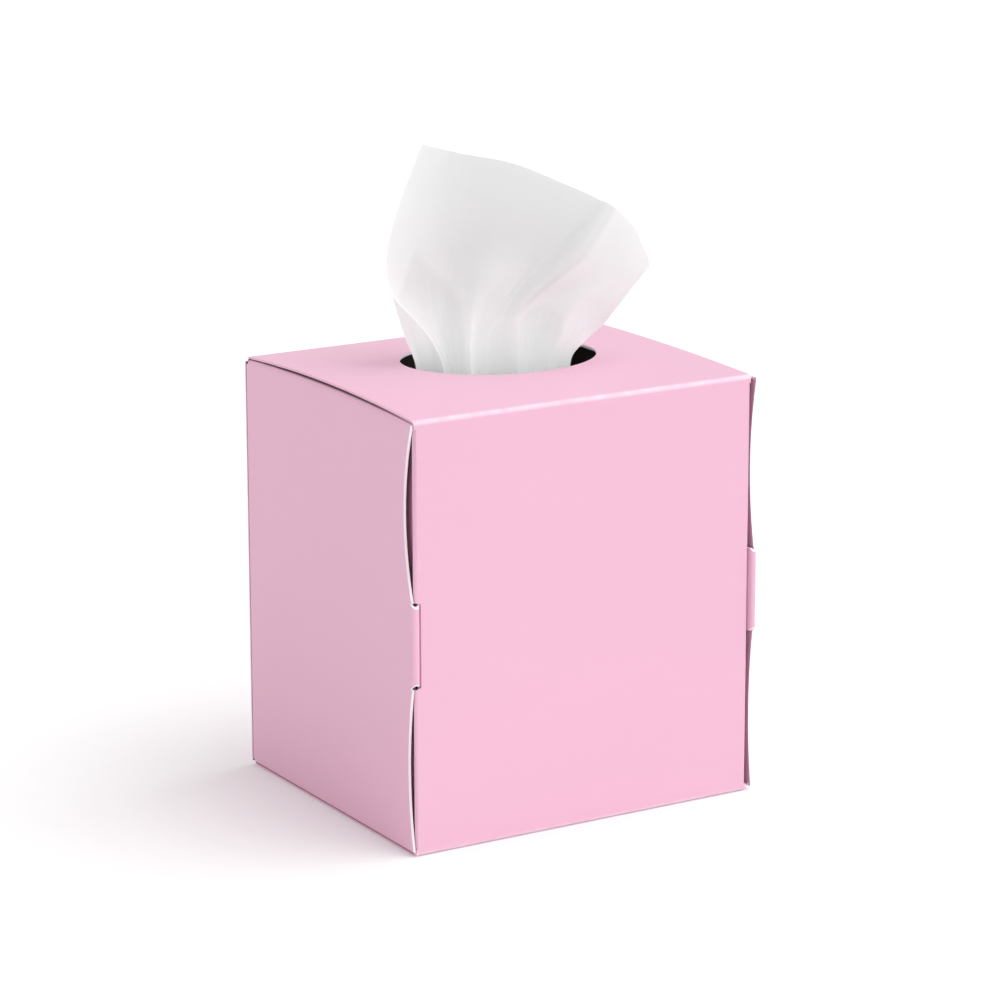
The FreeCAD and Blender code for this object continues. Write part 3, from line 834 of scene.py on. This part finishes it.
def fold_moves(spots, painted_shade):
    """The move of each vertex along its normal. Also notes the painted shade on the front layer."""
    moves = {}
    for vert, (column, row) in spots.items():
        if across_samples[column] < LAYER_END:
            # Painted shade: the share of grey painted here on the front layer.
            vert[painted_shade] = painted_shade_share(*across_and_up(vert.co))
        lift = fold_lift(column / (COLUMNS - 1), row / (ROWS - 1))
        moves[vert] = vert.normal * (lift - SHADE_PATCH_SINK * vert[painted_shade])
    return moves


def make_tissue():
    """The standing tissue as a grid laid on the guided surface."""
    shape = bmesh.new()
    shape.loops.layers.uv.new("sheet")
    bmesh.ops.create_grid(
        shape, x_segments=COLUMNS - 1, y_segments=ROWS - 1, size=0.5, calc_uvs=True
    )
    painted_shade = shape.verts.layers.float.new("painted_shade")
    spots = grid_spots(shape)
    for vert, (column, row) in spots.items():
        vert.co = Vector(surface[column][row])
    shape.normal_update()
    for vert, move in fold_moves(spots, painted_shade).items():
        vert.co += move
        vert.co.z = max(vert.co.z, STACK_TOP + LEAST_OVER_STACK)
    for face in shape.faces:
        face.smooth = True
    mesh = bpy.data.meshes.new("standing_tissue")
    shape.to_mesh(mesh)
    shape.free()
    mesh.materials.append(sheet_tissue)
    return add_object("standing_tissue", mesh)


standing_tissue = make_tissue()
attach(standing_tissue, "box")
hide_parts("pop_up_tissue")
print("tissue faces", len(standing_tissue.data.polygons))

# %% [markdown]
# The tissues left in the box are one block with rounded folds at the front and the back. Seen from
# above through the hole it is a pale sheet; from the side it shows the edges of many plies as fine
# lines. The lines come from a wave pattern that runs with the height, so the block's own shape can
# stay as the CAD model has it.

# %% Stack of tissues
PLY_LIGHT = (0.91, 0.91, 0.91)
PLY_SHADE = (0.80, 0.80, 0.80)

stack_tissue, stack_shader = new_material("stack_tissue", roughness=0.95, specular=0.08)
plies = add_node(
    stack_tissue,
    "ShaderNodeTexWave",
    {"bands_direction": "Z"},
    Scale=180.0,
    Distortion=1.6,
    Detail=2.0,
)
join(stack_tissue, own_place(stack_tissue), plies.inputs["Vector"])
ply_colour = colour_mix(stack_tissue, plies.outputs["Fac"], PLY_SHADE, PLY_LIGHT)
join(stack_tissue, ply_colour, stack_shader.inputs["Base Color"])
add_relief(stack_tissue, plies.outputs["Fac"], 0.5, 0.0003, stack_shader)
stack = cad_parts["tissue_stack"]
for material_slot in stack.material_slots:
    material_slot.material = stack_tissue
print("stack finished,", len(stack.data.polygons), "faces")

# %% [markdown]
# The photograph is a plain studio shot: a white floor and backdrop, one large soft light high on
# the right, and enough fill that only a soft shadow lies on the floor to the left. The floor glows
# a little for the camera through Light Path, so it is white and still takes the shadow. It is wide
# enough that its far edge is lost in the white backdrop.

# %% Floor
FLOOR_GREY = 0.91
FLOOR_GLOW = 0.08
FLOOR_SIZE = 8.0


def make_floor():
    """A wide flat floor that the box stands on."""
    shape = bmesh.new()
    bmesh.ops.create_grid(shape, x_segments=1, y_segments=1, size=FLOOR_SIZE)
    mesh = bpy.data.meshes.new("floor")
    shape.to_mesh(mesh)
    shape.free()
    return add_object("floor", mesh)


def seen_directly(tree_owner, other_ray):
    """1 for the camera's own rays and one other kind of ray, 0 for the rest."""
    path = add_node(tree_owner, "ShaderNodeLightPath")
    return calculate(tree_owner, "MAXIMUM", path.outputs["Is Camera Ray"], path.outputs[other_ray])


floor = make_floor()
paper_floor, floor_shader = new_material("paper_floor", roughness=0.9, specular=0.0)
floor_shader.inputs["Base Color"].default_value = (FLOOR_GREY, FLOOR_GREY, FLOOR_GREY, 1.0)
floor_shader.inputs["Emission Color"].default_value = (1.0, 1.0, 1.0, 1.0)
glow = calculate(paper_floor, "MULTIPLY", seen_directly(paper_floor, "Is Glossy Ray"), FLOOR_GLOW)
join(paper_floor, glow, floor_shader.inputs["Emission Strength"])
floor.data.materials.append(paper_floor)
print("floor glow", FLOOR_GLOW)

# %% [markdown]
# Most of the light comes evenly from all round, which keeps the tissue's folds pale. To the camera
# the backdrop is plain white, whatever its level as a light.

# %% Backdrop
WORLD_LEVEL = 0.70

world = bpy.data.worlds.new("studio")
bpy.context.scene.world = world
world.use_nodes = True
backdrop = world.node_tree.nodes["Background"]
backdrop.inputs["Color"].default_value = (1.0, 1.0, 1.0, 1.0)
seen_world = seen_directly(world, "Is Transmission Ray")
level = calculate(world, "MULTIPLY_ADD", seen_world, 1.0 - WORLD_LEVEL, WORLD_LEVEL)
join(world, level, backdrop.inputs["Strength"])
print("backdrop level as a light", WORLD_LEVEL)

# %% [markdown]
# The key lamp is wide and far away, so the floor is lit evenly and the shadow's edge is broad. A
# weaker front lamp lifts the front panel and hardly reaches the left end, which therefore stays
# the deeper pink.

# %% Lamps
KEY_FROM = (0.42, -0.25, 0.85)
KEY_SPREAD = math.radians(50)
KEY_LEVEL = 1.38
FRONT_FROM = (0.15, -0.90, 0.25)
FRONT_SPREAD = math.radians(40)
FRONT_LEVEL = 0.46


def soft_lamp(name, source, spread, level):
    """A far, wide lamp whose light comes from the direction of source."""
    data = bpy.data.lights.new(name, "SUN")
    data.angle = spread
    data.energy = level
    lamp = add_object(name, data)
    lamp.location = source
    lamp.rotation_euler = (-Vector(source)).to_track_quat("-Z", "Y").to_euler()
    return lamp


key_lamp = soft_lamp("key_lamp", KEY_FROM, KEY_SPREAD, KEY_LEVEL)
front_lamp = soft_lamp("front_lamp", FRONT_FROM, FRONT_SPREAD, FRONT_LEVEL)
bpy.context.scene.view_settings.view_transform = "Standard"
print("lamps", [lamp.name for lamp in (key_lamp, front_lamp)])
